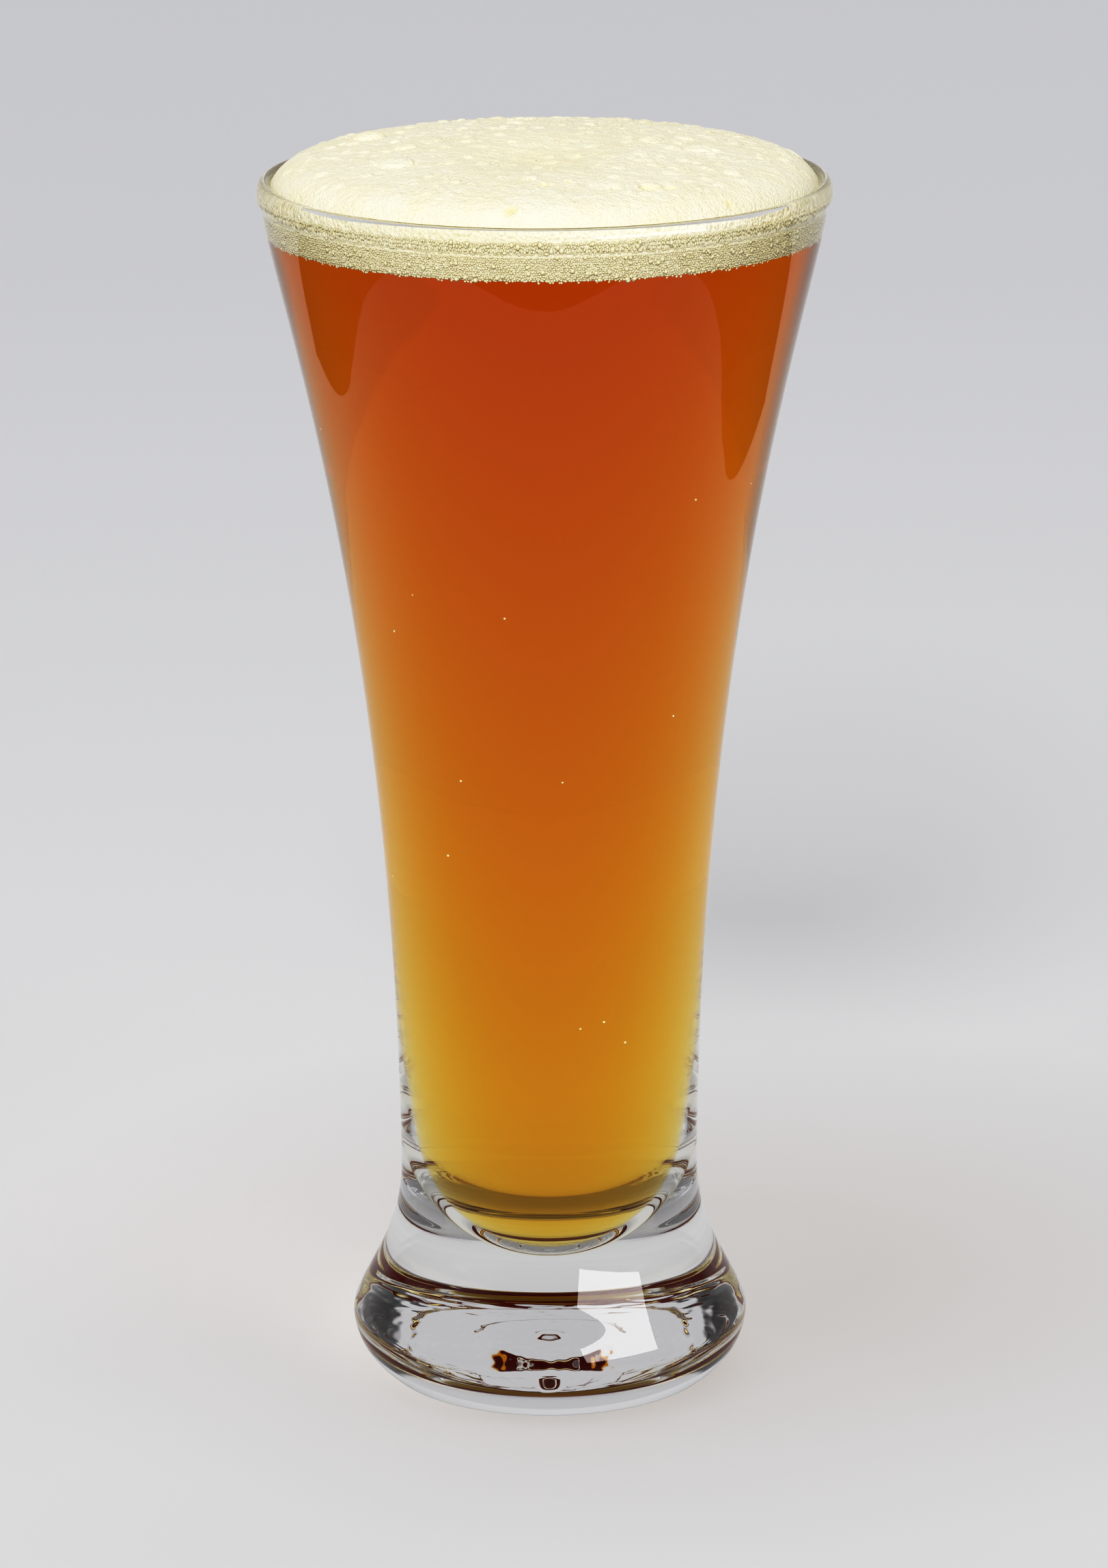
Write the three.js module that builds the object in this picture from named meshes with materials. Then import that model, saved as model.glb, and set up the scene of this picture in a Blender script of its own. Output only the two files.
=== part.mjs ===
import * as THREE from 'three';

// A pint of beer: a tall flared glass on a heavy round foot, the beer in it,
// and the head of foam that domes above the rim.
// Millimetres, +Z up, with the origin on the table under the middle of the foot.

// Driving sizes of the glass
const rimHeight = 208;
const lipRadius = 47.8;
const footRadius = 34.05;
const footBulgeHeight = 9;
const waistRadius = 25.5;
const waistHeight = 36.6;
const baseThickness = 20.3;

// The flat ring that stands on the table
const ringInside = 24;
const ringOutside = 28.5;

// The rounded bead round the mouth
const beadHalfHeight = 2.2;
const beadOutward = 1.4;
const beadInward = 1.15;

// The wall just under the bead outside, and where the wall meets the rounded bowl inside
const shoulder = { radius: 46.9, height: 203.3 };
const bowlTop = { radius: 16.8, height: 40.7 };

// Driving sizes of what fills the glass
const beerLevel = 199.4;
const headTopHeight = 213.6;

// How far the head falls from its middle to the rim: a low dome, and a round shoulder at the edge
const domeFall = 2.8;
const shoulderFall = 3.4;
const shoulderSharpness = 20;

// Space between pieces that touch
const gap = 0.35;

// Sides of the round pieces
const glassSides = 48;
const foamSides = 96;

const axisRadius = 0;

// The bead is two half ellipses about this middle
const beadMiddle = {
  radius: lipRadius - beadOutward,
  height: rimHeight - beadHalfHeight,
};
const mouthRadius = beadMiddle.radius - beadInward;
const headRadius = mouthRadius - gap;

// Points along a smooth curve of four handles, each [radius, height], without its first point
function curvePoints(handles, steps) {
  const corners = handles.map(([radius, height]) => new THREE.Vector2(radius, height));
  return new THREE.CubicBezierCurve(...corners).getPoints(steps).slice(1);
}

// A shallow recess with two low steps and the mould's small pip in its middle
function undersidePoints() {
  const outline = [
    [axisRadius, 2.9],
    [1.2, 2.8],
    [1.9, 2.2],
    [8.1, 2.1],
    [8.9, 1.4],
    [15.5, 1.3],
    [16.5, 0.6],
    [22.5, 0.5],
    [ringInside, 0],
    [ringOutside, 0],
  ];
  return outline.map(([radius, height]) => new THREE.Vector2(radius, height));
}

// The foot's round bulge, its slope up to the waist, and the long flare to the bead
function outsidePoints() {
  const bulge = curvePoints([
    [ringOutside, 0],
    [32.2, 2.9],
    [33.7, 5.7],
    [footRadius, footBulgeHeight],
  ], 6);
  const slope = curvePoints([
    [footRadius, footBulgeHeight],
    [34.55, 13.8],
    [waistRadius, 21.6],
    [waistRadius, waistHeight],
  ], 9);
  const flare = curvePoints([
    [waistRadius, waistHeight],
    [26.2, 136.6],
    [45.5, 190.2],
    [shoulder.radius, shoulder.height],
  ], 13);
  return [...bulge, ...slope, ...flare];
}

// The bead, from its crease against the wall outside, over the top and down to the mouth inside
function beadPoints() {
  const creaseAngle = -60;
  const stepAngle = 30;
  const points = [];
  for (let angle = creaseAngle; angle <= 180; angle += stepAngle) {
    const turn = THREE.MathUtils.degToRad(angle);
    const reach = angle <= 90 ? beadOutward : beadInward;
    points.push(new THREE.Vector2(
      beadMiddle.radius + reach * Math.cos(turn),
      beadMiddle.height + beadHalfHeight * Math.sin(turn),
    ));
  }
  return points;
}

// The wall inside, from the mouth down to the top of the bowl
const wall = new THREE.CubicBezierCurve(
  new THREE.Vector2(mouthRadius, beadMiddle.height),
  new THREE.Vector2(42.3, 182.3),
  new THREE.Vector2(34.1, 177.1),
  new THREE.Vector2(bowlTop.radius, bowlTop.height),
);

// The radius inside the wall at a height, by halving the stretch of curve that holds it
function wallRadius(height) {
  const halvings = 30;
  let above = 0;
  let below = 1;
  for (let i = 0; i < halvings; i += 1) {
    const middle = (above + below) / 2;
    if (wall.getPoint(middle).y > height) {
      above = middle;
    } else {
      below = middle;
    }
  }
  return wall.getPoint(above).x;
}

// The wall inside at even heights from one level down to another, without the upper one
function wallPoints(from, to, steps) {
  const points = [];
  for (let i = 1; i <= steps; i += 1) {
    const height = from + (to - from) * i / steps;
    points.push(new THREE.Vector2(wallRadius(height), height));
  }
  return points;
}

// The rounded bottom of the inside, down to the axis
function bowlPoints() {
  return curvePoints([
    [bowlTop.radius, bowlTop.height],
    [15.4, 29.5],
    [9.4, baseThickness],
    [axisRadius, baseThickness],
  ], 7);
}

// The inside of the glass from the beer's level down to the axis, shared by the glass and the beer
const soakedPoints = [
  new THREE.Vector2(wallRadius(beerLevel), beerLevel),
  ...wallPoints(beerLevel, bowlTop.height, 13),
  ...bowlPoints(),
];

// Moves an outline that runs down to the axis inward by the gap, square to itself
function insetPoints(points) {
  return points.map((point, i) => {
    const before = points[Math.max(i - 1, 0)];
    const after = points[Math.min(i + 1, points.length - 1)];
    const along = after.clone().sub(before).normalize();
    if (point.x === axisRadius) {
      return new THREE.Vector2(axisRadius, point.y + gap);
    }
    if (i === 0) {
      return new THREE.Vector2(point.x + gap / along.y, point.y);
    }
    return new THREE.Vector2(point.x + along.y * gap, point.y - along.x * gap);
  });
}

// Bumps and hollows of the head: [x, y, radius, height]. The shallow crater and the crest behind
// it come first, then the larger bubbles under the skin, then a pair of burst ones.
const headForms = [
  [-2.5, -9.5, 9, -1.2],
  [1, 10, 6, 0.5],
  [-29.6, 15.2, 2.6, 1.2],
  [-24.1, -13, 2.6, 1],
  [10.4, -30.8, 2.2, 0.8],
  [25.5, -1.5, 2.2, 0.8],
  [17.7, 5.1, 2, 0.8],
  [-23, 0.8, 1.8, 0.7],
  [-18.8, 5.7, 1.8, 0.6],
  [23.3, 9, 1.7, 0.6],
  [30.6, -18.6, 1.6, 0.5],
  [-5.8, -13.9, 1.7, 0.5],
  [1.1, -11.9, 1.7, 0.5],
  [-2.2, -26.4, 1.7, 0.5],
  [-4.9, 26.4, 1.6, 0.5],
  [16.7, -31.7, 1.5, -0.9],
  [20.1, -31.2, 1.2, -0.7],
];

// How far the head's surface lies above or below its plain dome
function headRelief(x, y) {
  let lift = 0;
  for (const [middleX, middleY, radius, height] of headForms) {
    const away = ((x - middleX) ** 2 + (y - middleY) ** 2) / radius ** 2;
    lift += height * Math.exp(-away);
  }
  return lift;
}

// The height of the plain dome at a share of the way out to its edge
function domeHeight(out) {
  return headTopHeight - domeFall * out ** 2 - shoulderFall * out ** shoulderSharpness;
}

// The foam's outline: its flat underside, its side along the wall, then the dome in to the axis.
// The dome's rings crowd together towards its round shoulder.
function foamOutline() {
  const underside = beerLevel + gap;
  const halfway = (underside + beadMiddle.height) / 2;
  const outline = [
    new THREE.Vector2(axisRadius, underside),
    new THREE.Vector2(wallRadius(underside) - gap, underside),
    new THREE.Vector2(wallRadius(halfway) - gap, halfway),
    new THREE.Vector2(headRadius, beadMiddle.height),
  ];
  const domeRings = 22;
  const crowding = 0.3;
  for (let ring = domeRings; ring >= 0; ring -= 1) {
    const step = ring / domeRings;
    const out = step * (1 + crowding * (1 - step ** 2));
    outline.push(new THREE.Vector2(headRadius * out, domeHeight(out)));
  }
  return outline;
}

// A piece turned about the glass's upright axis
function turned(name, outline, sides, material) {
  const mesh = new THREE.Mesh(new THREE.LatheGeometry(outline, sides), material);
  mesh.name = name;
  mesh.rotation.x = Math.PI / 2;
  return mesh;
}

function makeGlass() {
  const outline = [
    ...undersidePoints(),
    ...outsidePoints(),
    ...beadPoints(),
    ...wallPoints(beadMiddle.height, beerLevel, 2),
    ...soakedPoints.slice(1),
  ];
  const material = new THREE.MeshStandardMaterial({ color: 0xe6ecee, roughness: 0.03, metalness: 0 });
  return turned('glass', outline, glassSides, material);
}

function makeBeer() {
  const surface = new THREE.Vector2(axisRadius, beerLevel);
  const outline = [surface, ...insetPoints(soakedPoints)].reverse();
  const material = new THREE.MeshStandardMaterial({ color: 0xc2580c, roughness: 0.05, metalness: 0 });
  return turned('beer', outline, glassSides, material);
}

function makeFoam() {
  const material = new THREE.MeshStandardMaterial({ color: 0xfbf5dc, roughness: 0.7, metalness: 0 });
  const mesh = turned('foam', foamOutline(), foamSides, material);
  const places = mesh.geometry.attributes.position;
  for (let i = 0; i < places.count; i += 1) {
    const across = places.getX(i);
    const back = -places.getZ(i);
    if (places.getY(i) > beadMiddle.height) {
      const out = Math.hypot(across, back) / headRadius;
      const fade = 1 - out ** shoulderSharpness;
      places.setY(i, places.getY(i) + headRelief(across, back) * fade);
    }
  }
  return mesh;
}

const pint = new THREE.Group();
pint.add(makeGlass(), makeBeer(), makeFoam());

export default pint;
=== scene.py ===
"""The looks of a pint of beer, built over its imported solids: clear glass, amber beer and foam.

The frame is in metres, +Z up, with the origin on the table under the middle of the foot.
Sizes below are in millimetres, and each mesh is scaled to metres as it is made.
"""

import math

import bpy
import numpy as np
from mathutils import Euler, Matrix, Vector


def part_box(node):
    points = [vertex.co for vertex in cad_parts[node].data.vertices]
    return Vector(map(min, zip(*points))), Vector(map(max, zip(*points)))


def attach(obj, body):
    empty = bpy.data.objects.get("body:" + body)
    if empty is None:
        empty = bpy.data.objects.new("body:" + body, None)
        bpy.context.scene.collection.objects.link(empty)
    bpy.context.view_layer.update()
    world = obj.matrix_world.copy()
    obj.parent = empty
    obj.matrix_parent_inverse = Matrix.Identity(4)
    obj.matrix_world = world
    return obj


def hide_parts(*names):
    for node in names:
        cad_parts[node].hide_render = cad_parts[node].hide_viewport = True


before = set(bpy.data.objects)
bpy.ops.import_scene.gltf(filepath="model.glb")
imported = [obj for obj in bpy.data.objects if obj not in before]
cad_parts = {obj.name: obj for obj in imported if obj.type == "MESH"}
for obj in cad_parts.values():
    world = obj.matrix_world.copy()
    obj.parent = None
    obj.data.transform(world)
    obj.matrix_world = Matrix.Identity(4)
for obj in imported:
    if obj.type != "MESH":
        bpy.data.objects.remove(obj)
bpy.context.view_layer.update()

MM = 0.001

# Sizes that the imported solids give
RIM_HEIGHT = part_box("glass")[1].z / MM
LIP_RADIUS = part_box("glass")[1].x / MM
BEER_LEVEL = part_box("beer")[1].z / MM

# The glass outside, as its solid has it
FOOT_RADIUS = 34.05
FOOT_BULGE_HEIGHT = 9
WAIST_RADIUS = 25.5
WAIST_HEIGHT = 36.6
BASE_THICKNESS = 20.3
RING_INSIDE = 24
RING_OUTSIDE = 28.5
SHOULDER = (46.9, 203.3)
BOWL_TOP = (16.8, 40.7)

# The bead round the mouth, two half ellipses about one middle
BEAD_HALF_HEIGHT = 2.2
BEAD_OUTWARD = 1.4
BEAD_INWARD = 1.15
BEAD_MIDDLE = (LIP_RADIUS - BEAD_OUTWARD, RIM_HEIGHT - BEAD_HALF_HEIGHT)
BEAD_CREASE_ANGLE = -60
MOUTH_RADIUS = BEAD_MIDDLE[0] - BEAD_INWARD

# How far the beer reaches into the glass, so that no air shows between them.
# The foam reaches half as far.
SOAK = 0.1

# The head of foam
HEAD_RADIUS = MOUTH_RADIUS + SOAK / 2
HEAD_TOP_HEIGHT = 213.6
DOME_FALL = 2.8
SHOULDER_FALL = 3.4
SHOULDER_SHARPNESS = 20

# Broad forms of the head as its solid has them: [x, y, radius, height]
BROAD_FORMS = [
    (-2.5, -9.5, 9, -1.2),
    (1, 10, 6, 0.5),
]

# Larger bubbles under the skin: [x, y, radius, height]
BUBBLES = [
    (-29.6, 15.2, 3.0, 1.2), (-24.1, -13, 3.2, 1.0), (10.4, -30.8, 2.4, 0.8), (25.5, -1.5, 2.5, 0.8),
    (17.7, 5.1, 2.3, 0.8), (-23, 0.8, 2.1, 0.7), (-18.8, 5.7, 2.1, 0.6), (23.3, 9, 1.8, 0.6),
    (30.6, -18.6, 1.6, 0.5), (-5.8, -13.9, 1.8, 0.5), (1.1, -11.9, 1.8, 0.5), (-2.2, -26.4, 1.8, 0.5),
    (-4.9, 26.4, 1.6, 0.5), (31.6, 7.3, 1.5, 0.4), (20.2, -21, 1.5, 0.4), (-1, 17.2, 1.4, 0.4),
    (-9.9, -14.1, 1.3, 0.4), (-15.4, -13.9, 1.3, 0.4), (-18.8, -33.2, 1.4, 0.4), (-29, -19.9, 1.3, 0.4),
    (-32.7, 0, 1.1, 0.35), (12, -19.1, 1.3, 0.4), (17.8, -16.4, 1.3, 0.4), (9.2, -17.1, 1.1, 0.3),
    (14.4, -11.4, 1.1, 0.3), (26.3, -16.5, 1.1, 0.3), (-12.4, -8.6, 1, 0.3), (3.9, -14.2, 1, 0.3),
    (36.6, -4.3, 1, 0.3), (-15.1, -35, 1, 0.3), (10.3, -12, 1, 0.3), (22.6, -17.6, 1, 0.3),
]

# Burst bubbles: [x, y, radius, depth]
PITS = [
    (16.7, -31.7, 1.5, 0.9), (20.1, -31.2, 1.1, 0.7), (4.1, -30.1, 0.8, 0.4), (-0.2, -31, 0.9, 0.4),
    (-5.3, -42.3, 1.1, 0.5), (29.6, -32.4, 0.7, 0.4),
]

# The smaller bubbles strewn over the head
STREWN_COUNT = 700
STREWN_RADII = (0.3, 1.3)

# The small bubbles against the glass: a band at the foam line with a ragged lower edge, and
# more of them behind the bead
BUBBLE_SPACING = 0.44
BAND_RAGGEDNESS = 0.45
BAND_BOTTOM = BEER_LEVEL - BAND_RAGGEDNESS
BAND_TOP = 203.6
BEAD_BAND_BOTTOM = 203.8

# The bubbles that rise in the beer
RISING_COUNT = 14
RISING_LOWEST = 60
RISING_RADII = (0.12, 0.22)

# Sides of the round meshes
GLASS_SIDES = 256
HEAD_SIDES = 960
HEAD_RINGS = 132

# The round floor. It and the table top lie a little below the foot, so that no faces coincide.
FLOOR_RADIUS = 8000
FLOOR_DROP = 0.1
TABLE_DROP = 0.05

# Light bends by these much in glass and in beer
GLASS_BEND = 1.52
BEER_BEND = 1.34

# The camera, as fitted to the outline in the photograph
CAMERA_PLACE = (0, -1.0106, 0.3879)
CAMERA_PITCH = math.radians(15.711)
CAMERA_YAW = math.radians(-0.063)
CAMERA_ROLL = math.radians(-0.261)
CAMERA_LENS = 141.77
CAMERA_SENSOR = 36

# Camera film: a soft toe and shoulder, so that deep colours stay deep
TONES = [(0, 0), (0.05, 0.02), (0.15, 0.09), (0.3, 0.3), (0.5, 0.61), (0.75, 0.88), (1, 1)]

# How often light may pass from one clear surface to the next, and from one pale surface to the next
CLEAR_BOUNCES = 100
PALE_BOUNCES = 4

randoms = np.random.default_rng(1840)


# Outlines, each a list of [radius, height]


def curve(handles, steps):
    """Points along a smooth curve of four handles, without its first point."""
    a, b, c, d = (np.array(handle, float) for handle in handles)
    t = np.linspace(0, 1, steps + 1)[1:, None]
    s = 1 - t
    return s**3 * a + 3 * s**2 * t * b + 3 * s * t**2 * c + t**3 * d


def underside_outline():
    """A shallow recess with two low steps and a small pip in its middle, its edges softened."""
    corners = np.array([
        (0, 2.9), (1.2, 2.8), (1.9, 2.2), (8.1, 2.1), (8.9, 1.4), (15.5, 1.3),
        (16.5, 0.6), (22.5, 0.5), (RING_INSIDE, 0), (RING_OUTSIDE, 0),
    ])
    step = 0.15
    reach = 4
    radii = np.arange(0, RING_OUTSIDE, step)
    heights = np.interp(radii, corners[:, 0], corners[:, 1])
    padded = np.concatenate([heights[reach:0:-1], heights, np.zeros(reach)])
    weights = np.hanning(2 * reach + 3)[1:-1]
    heights = np.convolve(padded, weights / weights.sum(), "valid")
    return np.column_stack([radii, heights])


def outside_outline():
    """The foot's round bulge, its slope up to the waist, and the long flare to the bead."""
    bulge = curve([
        (RING_OUTSIDE, 0), (32.2, 2.9), (33.7, 5.7), (FOOT_RADIUS, FOOT_BULGE_HEIGHT),
    ], 24)
    slope = curve([
        (FOOT_RADIUS, FOOT_BULGE_HEIGHT), (34.55, 13.8), (WAIST_RADIUS, 21.6),
        (WAIST_RADIUS, WAIST_HEIGHT),
    ], 40)
    flare = curve([(WAIST_RADIUS, WAIST_HEIGHT), (26.2, 136.6), (45.5, 190.2), SHOULDER], 64)
    return np.concatenate([[(RING_OUTSIDE, 0)], bulge, slope, flare])


def bead_outline():
    """The bead, from its crease against the wall outside, over the top and down to the mouth."""
    angles = np.radians(np.arange(BEAD_CREASE_ANGLE, 181, 7.5))
    reach = np.where(angles <= math.pi / 2, BEAD_OUTWARD, BEAD_INWARD)
    return np.column_stack([
        BEAD_MIDDLE[0] + reach * np.cos(angles),
        BEAD_MIDDLE[1] + BEAD_HALF_HEIGHT * np.sin(angles),
    ])


WALL = curve([(MOUTH_RADIUS, BEAD_MIDDLE[1]), (42.3, 182.3), (34.1, 177.1), BOWL_TOP], 400)[::-1]


def wall_radius(height):
    """The radius inside the wall at a height."""
    return np.interp(height, WALL[:, 1], WALL[:, 0])


def wall_outline(top, bottom, steps):
    """The wall inside at even heights, from the top down."""
    heights = np.linspace(top, bottom, steps)
    return np.column_stack([wall_radius(heights), heights])


def bowl_outline():
    """The rounded bottom of the inside, down to the axis."""
    return curve([BOWL_TOP, (15.4, 29.5), (9.4, BASE_THICKNESS), (0, BASE_THICKNESS)], 28)


def soaked_outline():
    """The inside of the glass from the beer's level down to the axis."""
    return np.concatenate([wall_outline(BEER_LEVEL, BOWL_TOP[1], 80), bowl_outline()])


def moved_out(outline, distance):
    """An outline that runs down to the axis, moved into the glass square to itself."""
    along = np.gradient(outline, axis=0)
    along /= np.linalg.norm(along, axis=1)[:, None]
    moved = outline + distance * np.column_stack([-along[:, 1], along[:, 0]])
    moved[-1] = (0, outline[-1][1] - distance)
    return moved


# Meshes


def make_object(name, points, faces):
    """A smooth-shaded mesh object from points in millimetres."""
    mesh = bpy.data.meshes.new(name)
    corners = (np.asarray(points) * MM).tolist()
    mesh.from_pydata(corners, [], [tuple(map(int, face)) for face in faces])
    mesh.shade_smooth()
    mesh.update()
    piece = bpy.data.objects.new(name, mesh)
    bpy.context.scene.collection.objects.link(piece)
    return piece


def join_rings(low, low_sides, high, high_sides):
    """Faces from one ring of points up to the next, which has as many sides or half as many."""
    faces = []
    for side in range(high_sides):
        after = (side + 1) % high_sides
        if low_sides == high_sides:
            faces.append((low + side, low + after, high + after, high + side))
        else:
            first, middle, last = low + 2 * side, low + 2 * side + 1, low + 2 * after
            faces.append((first, middle, high + side))
            faces.append((middle, high + after, high + side))
            faces.append((middle, last, high + after))
    return faces


def lathe(outline, sides):
    """Points and faces of a solid turned about the upright axis, its outline rising outside.

    The sides are one number, or one for each ring between the outline's two ends.
    """
    outline = np.asarray(outline)
    rings = outline[1:-1]
    counts = np.broadcast_to(sides, len(rings))
    starts = np.concatenate([[0], np.cumsum(counts)])
    blocks = []
    for (radius, height), count in zip(rings, counts):
        angles = np.arange(count) * 2 * math.pi / count
        blocks.append(np.column_stack([
            radius * np.cos(angles), radius * np.sin(angles), np.full(count, height),
        ]))
    first, last = starts[-1], starts[-1] + 1
    points = np.concatenate([*blocks, [(0, 0, outline[0][1]), (0, 0, outline[-1][1])]])
    faces = [(first, (side + 1) % counts[0], side) for side in range(counts[0])]
    for ring in range(len(rings) - 1):
        faces += join_rings(starts[ring], counts[ring], starts[ring + 1], counts[ring + 1])
    top = starts[-2]
    faces += [(top + side, top + (side + 1) % counts[-1], last) for side in range(counts[-1])]
    return points, faces


def ripples(x, y, shortest, longest, steepness):
    """Small waves in all directions, each as high as its length times the steepness."""
    count = 36
    lengths = shortest * (longest / shortest) ** randoms.random(count)
    turns, phases = 2 * math.pi * randoms.random((2, count))
    height = np.zeros_like(x)
    for length, turn, phase in zip(lengths, turns, phases):
        along = x * math.cos(turn) + y * math.sin(turn)
        height += steepness * length * np.cos(2 * math.pi * along / length + phase)
    return height


def keep_values(piece, name, values):
    """Keeps a value for each point of a piece, for its material to read."""
    attribute = piece.data.attributes.new(name, "FLOAT", "POINT")
    attribute.data.foreach_set("value", values)


# Materials


def new_material(name):
    """A material with its node tree and its Principled shader."""
    material = bpy.data.materials.new(name)
    material.use_nodes = True
    tree = material.node_tree
    return material, tree, tree.nodes["Principled BSDF"]


def add_node(tree, kind, **values):
    """A node of a kind, with values for its own settings or its inputs."""
    node = tree.nodes.new(kind)
    for name, value in values.items():
        if hasattr(node, name):
            setattr(node, name, value)
        else:
            node.inputs[name.replace("_", " ")].default_value = value
    return node


def add_bump(tree, shader, height, strength, distance):
    """Roughens a shader's surface by a height."""
    bump = add_node(tree, "ShaderNodeBump", Strength=strength, Distance=distance)
    tree.links.new(height, bump.inputs["Height"])
    tree.links.new(bump.outputs["Normal"], shader.inputs["Normal"])


def add_ramp(tree, factor, stops):
    """Colours along a factor, from pairs of a place and a colour."""
    ramp = add_node(tree, "ShaderNodeValToRGB")
    elements = ramp.color_ramp.elements
    while len(elements) < len(stops):
        elements.new(1)
    for element, (place, colour) in zip(elements, stops):
        element.position = place
        element.color = (*colour, 1)
    tree.links.new(factor, ramp.inputs["Fac"])
    return ramp.outputs["Color"]


def object_place(tree):
    """Where a point lies, in metres."""
    return add_node(tree, "ShaderNodeTexCoord").outputs["Object"]


def noise(tree, place, scale, detail=2):
    """Soft noise, with its scale in bumps a metre."""
    texture = add_node(tree, "ShaderNodeTexNoise", Scale=scale, Detail=detail)
    tree.links.new(place, texture.inputs["Vector"])
    return texture.outputs["Fac"]


def kept_value(tree, name):
    """A value that the piece keeps for each of its points."""
    return add_node(tree, "ShaderNodeAttribute", attribute_name=name).outputs["Fac"]


def add_mix(tree, factor, first, second):
    """A colour between two others."""
    mix = add_node(tree, "ShaderNodeMix", data_type="RGBA")
    sockets = (mix.inputs["Factor"], mix.inputs[6], mix.inputs[7])
    for value, socket in zip((factor, first, second), sockets):
        if isinstance(value, tuple):
            socket.default_value = (*value, 1)
        else:
            tree.links.new(value, socket)
    return mix.outputs[2]


def add_math(tree, operation, first, second):
    """One value worked out from two others."""
    node = add_node(tree, "ShaderNodeMath", operation=operation)
    for value, socket in zip((first, second), node.inputs):
        if isinstance(value, (int, float)):
            socket.default_value = value
        else:
            tree.links.new(value, socket)
    return node.outputs["Value"]


def glass_material(name, bend):
    """Clear glass with a faint unevenness from the mould."""
    material, tree, shader = new_material(name)
    shader.inputs["Base Color"].default_value = (1, 1, 1, 1)
    shader.inputs["Roughness"].default_value = 0
    shader.inputs["Transmission Weight"].default_value = 1
    shader.inputs["IOR"].default_value = bend
    waves = noise(tree, object_place(tree), 60)
    add_bump(tree, shader, waves, strength=0.02, distance=0.001)
    return material


def beer_material():
    """Amber beer. The wetted wall of the glass bends the light, so the beer itself bends none."""
    material, tree, shader = new_material("amber_beer")
    shader.inputs["Base Color"].default_value = (1, 1, 1, 1)
    shader.inputs["Roughness"].default_value = 0
    shader.inputs["Transmission Weight"].default_value = 1
    shader.inputs["IOR"].default_value = 1
    volume = add_node(tree, "ShaderNodeVolumeAbsorption", Density=130)
    volume.inputs["Color"].default_value = (0.968, 0.816, 0.08, 1)
    output = tree.nodes["Material Output"]
    tree.links.new(volume.outputs["Volume"], output.inputs["Volume"])
    return material


def foam_shader(name, colour_of, roughness):
    """Wet foam, whose colour a function makes from the place on it."""
    material, tree, shader = new_material(name)
    place = object_place(tree)
    tree.links.new(colour_of(tree, place), shader.inputs["Base Color"])
    shader.inputs["Roughness"].default_value = roughness
    shader.inputs["IOR"].default_value = 1.33
    shader.inputs["Subsurface Weight"].default_value = 0.3
    shader.inputs["Subsurface Radius"].default_value = (1, 0.85, 0.55)
    shader.inputs["Subsurface Scale"].default_value = 0.0004
    return material, tree, shader, place


def head_colour(tree, place):
    """Cream in soft patches, with deeper smudges, and yellow where bubbles have burst."""
    cream = add_ramp(tree, noise(tree, place, 110, 3), [
        (0.35, (0.93, 0.845, 0.585)),
        (0.6, (0.95, 0.88, 0.65)),
    ])
    stretched = add_node(tree, "ShaderNodeMapping")
    stretched.inputs["Scale"].default_value = (1, 0.35, 0.35)
    tree.links.new(place, stretched.inputs["Vector"])
    smudges = add_ramp(tree, noise(tree, stretched.outputs["Vector"], 420, 2), [
        (0.6, (0, 0, 0)),
        (0.72, (0.4, 0.4, 0.4)),
    ])
    smudged = add_mix(tree, smudges, cream, (0.90, 0.82, 0.55))
    return add_mix(tree, kept_value(tree, "warmth"), smudged, (0.90, 0.77, 0.42))


def head_material():
    """The head's skin, with the pores and small bubbles too fine for its mesh."""
    material, tree, shader, place = foam_shader("head_foam", head_colour, 0.4)
    cells = add_node(tree, "ShaderNodeTexVoronoi", Scale=2300)
    tree.links.new(place, cells.inputs["Vector"])
    pores = add_math(tree, "MULTIPLY", cells.outputs["Distance"], -0.6)
    grain = add_math(tree, "ADD", noise(tree, place, 900, 5), pores)
    add_bump(tree, shader, grain, strength=1, distance=0.0003)
    return material


def underside_shade_colour(tree, place):
    """The underside of the head, painted dark as shade, since little light reaches it through the beer.
    """
    return add_ramp(tree, noise(tree, place, 400), [
        (0.3, (0.30, 0.24, 0.12)),
        (0.7, (0.42, 0.35, 0.2)),
    ])


def bubble_shade_colour(tree, place):
    """Painted shade: dark olive between the bubbles and pale on their crests, by how high a point
    stands on its cap.
    """
    variety = add_math(tree, "MULTIPLY", noise(tree, place, 260), 0.2)
    crests = add_math(tree, "ADD", kept_value(tree, "crest"), variety)
    return add_ramp(tree, add_math(tree, "MULTIPLY", 0.8, crests), [
        (0.1, (0.22, 0.18, 0.07)),
        (0.45, (0.65, 0.575, 0.34)),
        (0.85, (0.93, 0.875, 0.65)),
    ])


def bubble_material(name):
    """Small wet bubbles against the glass, with painted shade between them."""
    material, tree, shader, place = foam_shader(name, bubble_shade_colour, 0.15)
    add_bump(tree, shader, noise(tree, place, 3500), strength=0.3, distance=0.0001)
    return material


# The glass


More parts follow.
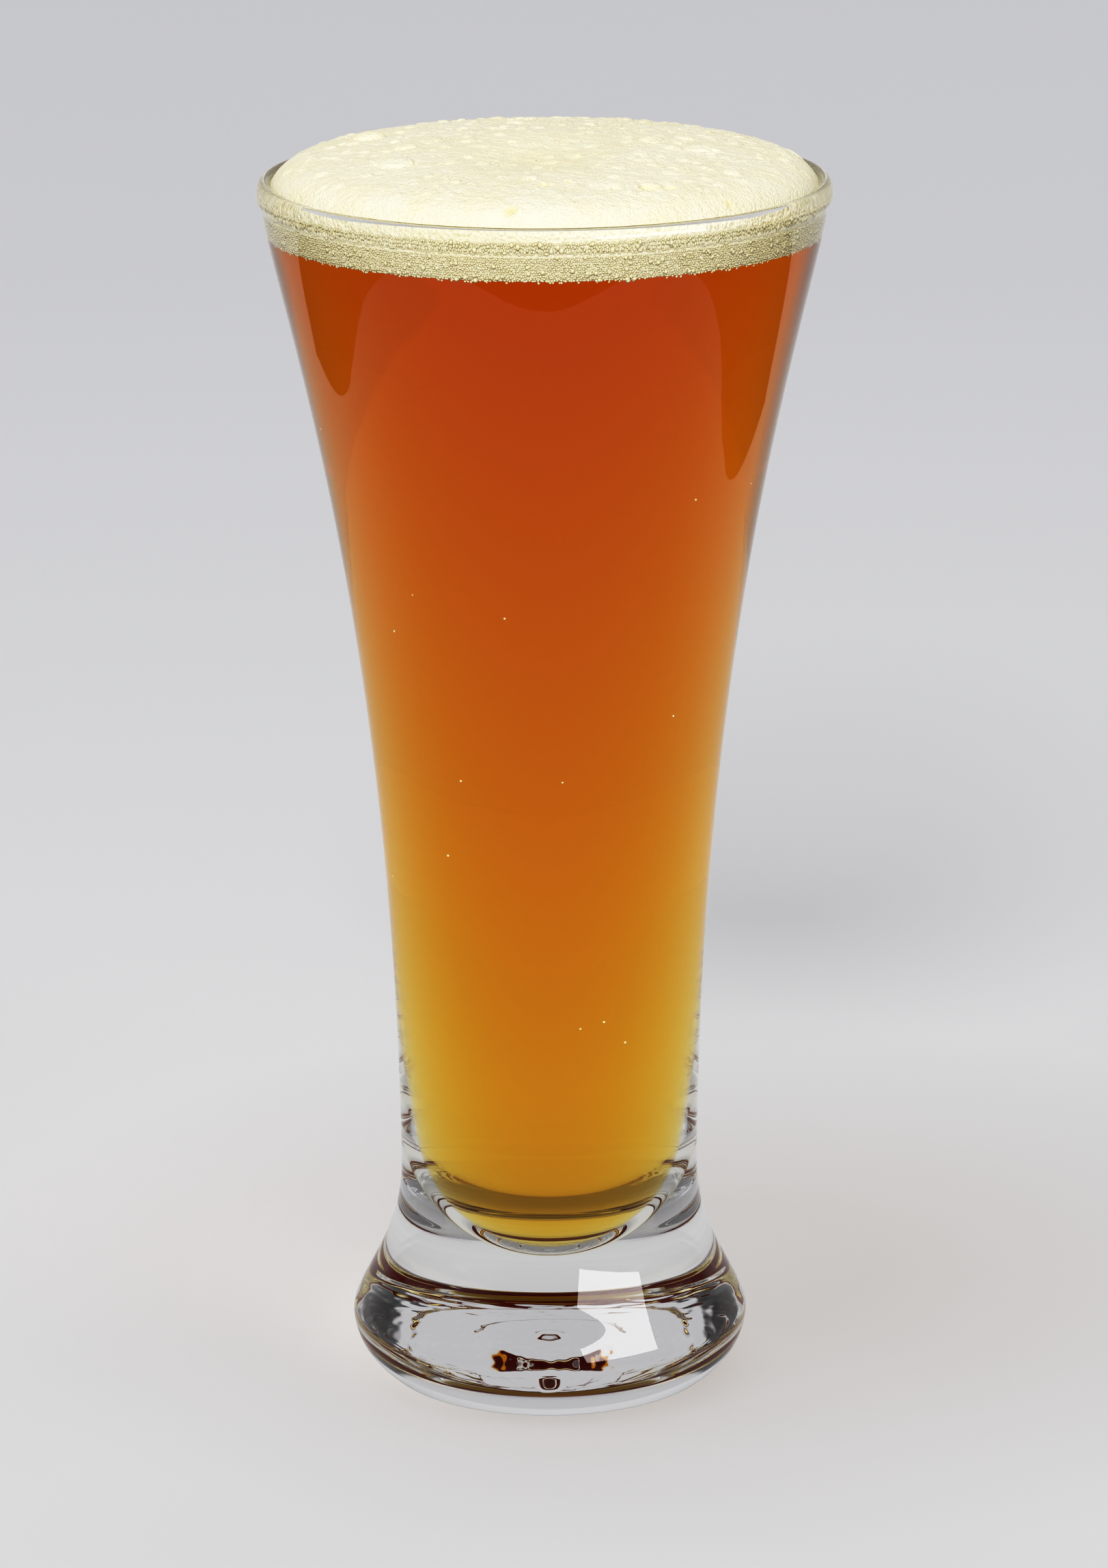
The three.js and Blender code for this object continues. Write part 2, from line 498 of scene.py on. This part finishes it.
def make_glass():
    """The glass, uneven underneath. Its faces against the beer bend light less than those in air."""
    outline = np.concatenate([
        underside_outline(),
        outside_outline(),
        bead_outline(),
        wall_outline(BEAD_MIDDLE[1], BEER_LEVEL, 8)[1:],
        soaked_outline()[1:],
    ])
    points, faces = lathe(outline, GLASS_SIDES)
    out = np.hypot(points[:, 0], points[:, 1])
    recess_top = 4
    fade_sharpness = 8
    under = (points[:, 2] < recess_top) & (out < RING_INSIDE)
    fade = 1 - (out[under] / RING_INSIDE) ** fade_sharpness
    points[under, 2] += fade * ripples(
        points[under, 0], points[under, 1], shortest=1.2, longest=5, steepness=0.003,
    )
    piece = make_object("clear_glass", points, faces)
    piece.data.materials.append(glass_material("clear_glass", GLASS_BEND))
    piece.data.materials.append(glass_material("wetted_glass", GLASS_BEND / BEER_BEND))
    for face in piece.data.polygons:
        x, y, z = face.center / MM
        inside = math.hypot(x, y) < wall_radius(z) + SOAK
        if inside and BASE_THICKNESS - SOAK < z < BEER_LEVEL:
            face.material_index = 1
    piece.visible_shadow = False
    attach(piece, "root")
    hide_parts("glass")


# The beer


def make_beer():
    """The beer, solid up to its level and reaching just into the wall of the glass."""
    side = moved_out(soaked_outline(), SOAK)
    outline = np.concatenate([[(0, BEER_LEVEL)], side])[::-1]
    points, faces = lathe(outline, GLASS_SIDES)
    piece = make_object("amber_beer", points, faces)
    piece.data.materials.append(beer_material())
    piece.visible_shadow = False
    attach(piece, "root")
    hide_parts("beer")


def make_beer_bubbles():
    """A few tiny bubbles that rise in the front half of the beer, near the wall."""
    blocks = []
    faces = []
    ball, ball_faces = lathe([(0, -1), (0.7, -0.7), (1, 0), (0.7, 0.7), (0, 1)], 8)
    for _ in range(RISING_COUNT):
        height = randoms.uniform(RISING_LOWEST, BEER_LEVEL - 10)
        turn = randoms.uniform(-math.pi, 0)
        out = wall_radius(height) - randoms.uniform(0.3, 3)
        middle = (out * math.cos(turn), out * math.sin(turn), height)
        start = len(ball) * len(blocks)
        faces += [tuple(corner + start for corner in face) for face in ball_faces]
        blocks.append(ball * randoms.uniform(*RISING_RADII) + middle)
    piece = make_object("beer_bubbles", np.concatenate(blocks), faces)
    piece.data.materials.append(bubble_material("beer_bubbles"))
    # Every point counts as a crest, so these bubbles get none of the painted shade
    keep_values(piece, "crest", np.ones(len(piece.data.vertices)))
    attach(piece, "root")


# The foam


def scattered_bubbles(count, smallest, largest):
    """Small bubbles strewn over the head, more of them small than large: [x, y, radius, height]."""
    out = HEAD_RADIUS * 0.97 * np.sqrt(randoms.random(count))
    angle = 2 * math.pi * randoms.random(count)
    radius = smallest + (largest - smallest) * randoms.random(count) ** 3
    height = radius * (0.25 + 0.15 * randoms.random(count))
    return np.column_stack([out * np.cos(angle), out * np.sin(angle), radius, height])


def head_relief(x, y):
    """How far the head's surface lies above or below its plain dome, and how yellow it is."""
    lift = np.zeros_like(x)
    warmth = np.zeros_like(x)
    hollow_warmth = 0.3
    for middle_x, middle_y, radius, height in BROAD_FORMS:
        form = np.exp(-((x - middle_x) ** 2 + (y - middle_y) ** 2) / radius**2)
        lift += height * form
        if height < 0:
            warmth += hollow_warmth * form

    # Each bubble is a dome with a crease round it, which shows only where no other dome covers it
    dome_share = 0.85
    crease_share = 0.2
    domes = np.zeros_like(x)
    creases = np.zeros_like(x)
    strewn = scattered_bubbles(STREWN_COUNT, *STREWN_RADII)
    for middle_x, middle_y, radius, height in [*BUBBLES, *strewn]:
        reach = 1.5 * radius
        near = np.flatnonzero((abs(x - middle_x) < reach) & (abs(y - middle_y) < reach))
        away = np.hypot(x[near] - middle_x, y[near] - middle_y) / radius
        dome = dome_share * height * np.sqrt(np.clip(1 - away**2, 0, None))
        crease = crease_share * height * np.exp(-((away - 1.05) / 0.12) ** 2)
        domes[near] = np.maximum(domes[near], dome)
        creases[near] = np.maximum(creases[near], crease)
    lift += domes - creases * (domes == 0)
    lift += ripples(x, y, shortest=0.9, longest=6, steepness=0.0045)

    # Each burst bubble is a pit with a low rim round it
    rim_share = 0.25
    pit_warmth = 0.9
    for middle_x, middle_y, radius, depth in PITS:
        away = np.hypot(x - middle_x, y - middle_y) / radius
        pit = np.exp(-away**4)
        rim = np.exp(-((away - 1.25) / 0.25) ** 2)
        lift += depth * (rim_share * rim - pit)
        warmth += pit_warmth * pit
    return lift, np.minimum(warmth, 1)


def make_foam():
    """The head: its underside in the beer, its side against the wall, and its dome above the rim."""
    underside = BEER_LEVEL - SOAK
    side = wall_outline(BEAD_MIDDLE[1], underside, 10)[::-1]
    side[:, 0] += SOAK / 2
    out = np.linspace(1, 0, HEAD_RINGS)
    dome = HEAD_TOP_HEIGHT - DOME_FALL * out**2 - SHOULDER_FALL * out**SHOULDER_SHARPNESS
    top = np.column_stack([HEAD_RADIUS * out, dome])
    outline = np.concatenate([[(0, underside)], side, top])

    # A ring has half as many sides each time its width has halved
    widths = outline[1:-1, 0] / HEAD_RADIUS
    halvings = (widths < 1 / 2) * 1 + (widths < 1 / 4) + (widths < 1 / 8)
    points, faces = lathe(outline, HEAD_SIDES // 2**halvings)

    flat_edge = 0.5
    above = points[:, 2] > BEAD_MIDDLE[1] + flat_edge
    out = np.hypot(points[above, 0], points[above, 1]) / HEAD_RADIUS
    lift, yellow = head_relief(points[above, 0], points[above, 1])
    points[above, 2] += lift * (1 - out**SHOULDER_SHARPNESS)
    warmth = np.zeros(len(points))
    warmth[above] = yellow
    piece = make_object("foam_head", points, faces)
    keep_values(piece, "warmth", warmth)
    piece.data.materials.append(head_material())
    # The underside in the beer gets a painted shade material
    piece.data.materials.append(foam_shader("underside_shaded_foam", underside_shade_colour, 0.3)[0])
    for face in piece.data.polygons:
        if face.center.z < (underside + SOAK / 2) * MM:
            face.material_index = 1
    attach(piece, "root")
    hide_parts("foam")


# Bubbles against the glass


def caps(places, outward, radii, heights, sides):
    """Points and faces of low round caps, each lying on a place and facing outward."""
    upward = np.cross(outward, np.cross((0, 0, 1), outward))
    upward /= np.linalg.norm(upward, axis=1)[:, None]
    sideways = np.cross(upward, outward)
    angles = np.arange(sides) * 2 * math.pi / sides
    foot_ring = (1, 0)
    upper_ring = (0.62, 0.75)
    blocks = []
    for share, rise in (foot_ring, upper_ring):
        ring = places[:, None, :] + (outward * (heights * rise)[:, None])[:, None, :]
        ring = ring + radii[:, None, None] * share * (
            np.cos(angles)[None, :, None] * sideways[:, None, :]
            + np.sin(angles)[None, :, None] * upward[:, None, :]
        )
        blocks.append(ring)
    tops = (places + outward * heights[:, None])[:, None, :]
    points = np.concatenate([*blocks, tops], axis=1).reshape(-1, 3)
    each = 2 * sides + 1
    faces = []
    for cap in range(len(places)):
        low = cap * each
        high = low + sides
        top = high + sides
        for side in range(sides):
            after = (side + 1) % sides
            faces.append((low + side, low + after, high + after, high + side))
            faces.append((high + side, high + after, top))
    return points, faces


def make_wall_bubbles(name, bottom, top, spacing, raggedness):
    """Bubbles crowded against the glass between two heights, in staggered rows."""
    cap_sides = 6
    jitter = 0.3
    rarity = 0.97
    row_step = spacing * 0.87
    rows = int((top - bottom) / row_step)
    around = int(2 * math.pi * wall_radius((bottom + top) / 2) / spacing)
    row, column = np.meshgrid(np.arange(rows), np.arange(around), indexing="ij")
    along = column + 0.5 * (row % 2) + randoms.uniform(-jitter, jitter, row.shape)
    upward = row + randoms.uniform(-jitter, jitter, row.shape)
    angle = along.ravel() * 2 * math.pi / around
    height = bottom + upward.ravel() * row_step

    keep = height > bottom + raggedness * randoms.random(len(height)) ** 2
    angle, height = angle[keep], height[keep]
    radii = 0.42 + 0.2 * randoms.random(len(angle))
    radii += 0.5 * (randoms.random(len(angle)) > rarity)
    radii *= spacing

    out = np.column_stack([np.cos(angle), np.sin(angle), np.zeros(len(angle))])
    places = out * (wall_radius(height) + SOAK / 2)[:, None]
    places[:, 2] = height
    points, faces = caps(places, out, radii, radii * 0.6, cap_sides)
    piece = make_object(name, points, faces)
    # How high each point stands on its cap, read by the material for the painted shade between bubbles
    crests = np.repeat([0, 0.6, 1], [cap_sides, cap_sides, 1])
    keep_values(piece, "crest", np.tile(crests, len(places)))
    piece.data.materials.append(bubble_material(name))
    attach(piece, "root")


# The studio


def add_stage(name, points, material):
    """A flat stage object through corners in millimetres."""
    piece = make_object(name, points, [tuple(range(len(points)))])
    piece.data.materials.append(material)
    return piece


def distance_from(tree, middle):
    """How far a point lies from a middle, in metres."""
    away = add_node(tree, "ShaderNodeVectorMath", operation="DISTANCE")
    tree.links.new(object_place(tree), away.inputs[0])
    away.inputs[1].default_value = middle
    return away.outputs["Value"]


def make_floor():
    """The pale floor, with the soft warm shade of the glass painted on it."""
    material, tree, shader = new_material("pale_floor")
    shade_middle = (0.03, 0.05, 0)
    # Painted shade: darker and warmer close round the foot, lightest a little way off, and slowly
    # darker far away as a painted falloff of the light
    colour = add_ramp(tree, distance_from(tree, shade_middle), [
        (0.03, (0.60, 0.58, 0.565)),
        (0.09, (0.65, 0.642, 0.64)),
        (0.14, (0.69, 0.69, 0.695)),
        (1, (0.635, 0.637, 0.66)),
    ])
    mottling = add_ramp(tree, noise(tree, object_place(tree), 1.5), [
        (0.3, (0, 0, 0)),
        (0.7, (0.04, 0.04, 0.04)),
    ])
    mottled = add_mix(tree, mottling, colour, (0.45, 0.45, 0.47))
    tree.links.new(mottled, shader.inputs["Base Color"])
    shader.inputs["Roughness"].default_value = 0.9
    shader.inputs["Specular IOR Level"].default_value = 0
    sides = 96
    angles = np.arange(sides) * 2 * math.pi / sides
    circle = np.column_stack([
        FLOOR_RADIUS * np.cos(angles), FLOOR_RADIUS * np.sin(angles), np.full(sides, -FLOOR_DROP),
    ])
    floor = add_stage("studio_floor", circle, material)
    floor.visible_glossy = False


def make_table():
    """A glowing table top that only the glass reflects and bends, painted shade in front, painted
    shadow under the foot.
    """
    material, tree, shader = new_material("glowing_table")
    split = add_node(tree, "ShaderNodeSeparateXYZ")
    tree.links.new(object_place(tree), split.inputs["Vector"])

    # Painted shade: the glow dims towards the front, by how far a point lies behind a line in front of
    # the glass, in metres
    line_before_glass = 0.3
    depth = add_math(tree, "ADD", split.outputs["Y"], line_before_glass)
    glow = add_ramp(tree, depth, [
        (0.2, (0.36, 0.36, 0.365)),
        (0.34, (0.48, 0.48, 0.485)),
        (0.45, (0.555, 0.555, 0.56)),
        (1, (0.56, 0.56, 0.565)),
    ])
    # Painted shadow: a dark disc under the foot, where the glow gives way to a low grey
    beside = add_ramp(tree, distance_from(tree, (0, 0, 0)), [
        (0.025, (0, 0, 0)),
        (0.035, (1, 1, 1)),
    ])
    glow = add_mix(tree, beside, (0.24, 0.24, 0.245), glow)
    tree.links.new(glow, shader.inputs["Emission Color"])
    shader.inputs["Emission Strength"].default_value = 1
    shader.inputs["Base Color"].default_value = (0, 0, 0, 1)
    shader.inputs["Specular IOR Level"].default_value = 0
    material.cycles.emission_sampling = "NONE"

    # Straight sides beside the glass, then it spreads until it covers the floor behind
    left, right = -365, 345
    front, back = -295, 300
    wide, spread = 1200, 320
    widest, far = 8000, 9000
    corners = [
        (left, front), (right, front), (right, back), (wide, spread), (widest, far),
        (-widest, far), (-wide, spread), (left, back),
    ]
    table = add_stage("studio_table", [(x, y, -TABLE_DROP) for x, y in corners], material)
    table.visible_camera = False
    table.visible_diffuse = False
    table.visible_shadow = False


def all_round(tree, turn, stops):
    """Greys round the studio: [degrees to the right of straight behind the glass, grey]."""
    return add_ramp(tree, turn, [
        ((degrees + 180) / 360, (grey, grey, grey * 1.02)) for degrees, grey in stops
    ])


def rising(tree, height, low, high):
    """From 0 to 1 between two angles above the horizon, in degrees."""
    blend = add_node(tree, "ShaderNodeMapRange")
    blend.inputs["From Min"].default_value = math.sin(math.radians(low))
    blend.inputs["From Max"].default_value = math.sin(math.radians(high))
    tree.links.new(height, blend.inputs["Value"])
    return blend.outputs["Result"]


def make_world():
    """A pale studio: a backdrop behind the glass, dark flags beside it and a pale ceiling.

    Where the camera sees past the floor there is plain pale paper.
    """
    world = bpy.data.worlds.new("studio")
    world.use_nodes = True
    tree = world.node_tree
    place = add_node(tree, "ShaderNodeTexCoord").outputs["Generated"]
    split = add_node(tree, "ShaderNodeSeparateXYZ")
    tree.links.new(place, split.inputs["Vector"])
    height = split.outputs["Z"]
    radians = add_math(tree, "ARCTAN2", split.outputs["X"], split.outputs["Y"])
    turn = add_math(tree, "ADD", add_math(tree, "MULTIPLY", radians, 0.5 / math.pi), 0.5)
    walls = all_round(tree, turn, [
        (-180, 0.12), (-150, 0.14), (-135, 0.35), (-70, 0.36), (-66, 0.05), (-44, 0.05),
        (-40, 0.43), (39, 0.44), (43, 0.06), (62, 0.09), (74, 0.35), (135, 0.35), (150, 0.14),
        (180, 0.12),
    ])
    skirting = all_round(tree, turn, [
        (-180, 0.25), (-90, 0.25), (-56, 0.24), (-50, 0.38), (-44, 0.54), (0, 0.54), (46, 0.5),
        (54, 0.45), (60, 0.26), (90, 0.25), (180, 0.25),
    ])
    ceiling = all_round(tree, turn, [
        (-180, 0.12), (-150, 0.14), (-135, 0.43), (135, 0.43), (150, 0.14), (180, 0.12),
    ])
    overhead = add_mix(tree, rising(tree, height, 62, 68), ceiling, (0.43, 0.43, 0.44))
    upper = add_mix(tree, rising(tree, height, 42, 47), walls, overhead)
    lower = add_mix(tree, rising(tree, height, 6, 10), skirting, upper)
    shade = add_mix(tree, rising(tree, height, -13, -10), (0.03, 0.03, 0.03), lower)
    seen = add_node(tree, "ShaderNodeLightPath").outputs["Is Camera Ray"]
    paper = (0.48, 0.481, 0.5)
    shade = add_mix(tree, seen, shade, paper)
    tree.links.new(shade, tree.nodes["Background"].inputs["Color"])
    bpy.context.scene.world = world


def add_softbox(name, direction, distance, size, radiance):
    """A soft light that faces the glass. Its direction is degrees to the right of straight behind
    the glass, and degrees above the horizon."""
    light = bpy.data.lights.new(name, "AREA")
    light.shape = "RECTANGLE"
    light.size, light.size_y = size
    light.energy = radiance * math.pi * light.size * light.size_y
    lamp = bpy.data.objects.new(name, light)
    azimuth, elevation = map(math.radians, direction)
    level = math.cos(elevation)
    away = Vector((
        math.sin(azimuth) * level, math.cos(azimuth) * level, math.sin(elevation),
    ))
    lower_glass = Vector((0, 0, 0.05))
    lamp.location = away * distance + lower_glass
    lamp.rotation_euler = (-away).to_track_quat("-Z", "Y").to_euler()
    lamp.visible_camera = False
    lamp.visible_transmission = False
    bpy.context.scene.collection.objects.link(lamp)
    return lamp


def add_sun(name, direction, spread, strength):
    """Even light from far off. Its direction is where it goes: degrees to the left of straight
    back, and degrees above level."""
    light = bpy.data.lights.new(name, "SUN")
    light.energy = strength
    light.angle = math.radians(spread)
    lamp = bpy.data.objects.new(name, light)
    azimuth, elevation = map(math.radians, direction)
    lamp.rotation_euler = (math.pi / 2 + elevation, 0, azimuth)
    lamp.visible_glossy = False
    lamp.visible_transmission = False
    bpy.context.scene.collection.objects.link(lamp)


def make_lights():
    """A softbox that only shows as a reflection, two that only light, and even light from in front."""
    low = add_softbox("low_softbox", (137, 22), distance=1.2, size=(0.95, 0.36), radiance=5.5)
    low.visible_diffuse = False
    left = add_softbox("left_softbox", (-130, 45), distance=1.6, size=(0.75, 0.6), radiance=1.7)
    left.visible_glossy = False
    right = add_softbox("right_softbox", (130, 45), distance=1.6, size=(0.75, 0.6), radiance=1.7)
    right.visible_glossy = False
    add_sun("even_light", (-10, -33), spread=20, strength=2.2)


def make_camera():
    """The camera, where the photograph was taken from."""
    lens = bpy.data.cameras.new("camera")
    lens.lens = CAMERA_LENS
    lens.sensor_width = CAMERA_SENSOR
    lens.clip_end = 50
    camera = bpy.data.objects.new("camera", lens)
    camera.location = CAMERA_PLACE
    turn = Euler((math.pi / 2 - CAMERA_PITCH, 0, CAMERA_YAW)).to_matrix()
    camera.rotation_euler = (turn @ Euler((0, 0, CAMERA_ROLL)).to_matrix()).to_euler()
    bpy.context.scene.collection.objects.link(camera)
    bpy.context.scene.camera = camera


def set_film():
    """The tones of the picture, and how far light is followed through the glass."""
    scene = bpy.context.scene
    scene.view_settings.view_transform = "Standard"
    scene.view_settings.use_curve_mapping = True
    mapping = scene.view_settings.curve_mapping
    all_colours = 3
    tones = mapping.curves[all_colours]
    for place, value in TONES[1:-1]:
        tones.points.new(place, value)
    mapping.update()
    scene.cycles.max_bounces = CLEAR_BOUNCES
    scene.cycles.transmission_bounces = CLEAR_BOUNCES
    scene.cycles.glossy_bounces = CLEAR_BOUNCES
    scene.cycles.diffuse_bounces = PALE_BOUNCES


make_camera()
make_glass()
make_beer()
make_beer_bubbles()
make_foam()
make_wall_bubbles("wall_bubbles", BAND_BOTTOM, BAND_TOP, BUBBLE_SPACING, BAND_RAGGEDNESS)
make_wall_bubbles("bead_bubbles", BEAD_BAND_BOTTOM, BEAD_MIDDLE[1], BUBBLE_SPACING, raggedness=0)
make_floor()
make_table()
make_world()
make_lights()
set_film()
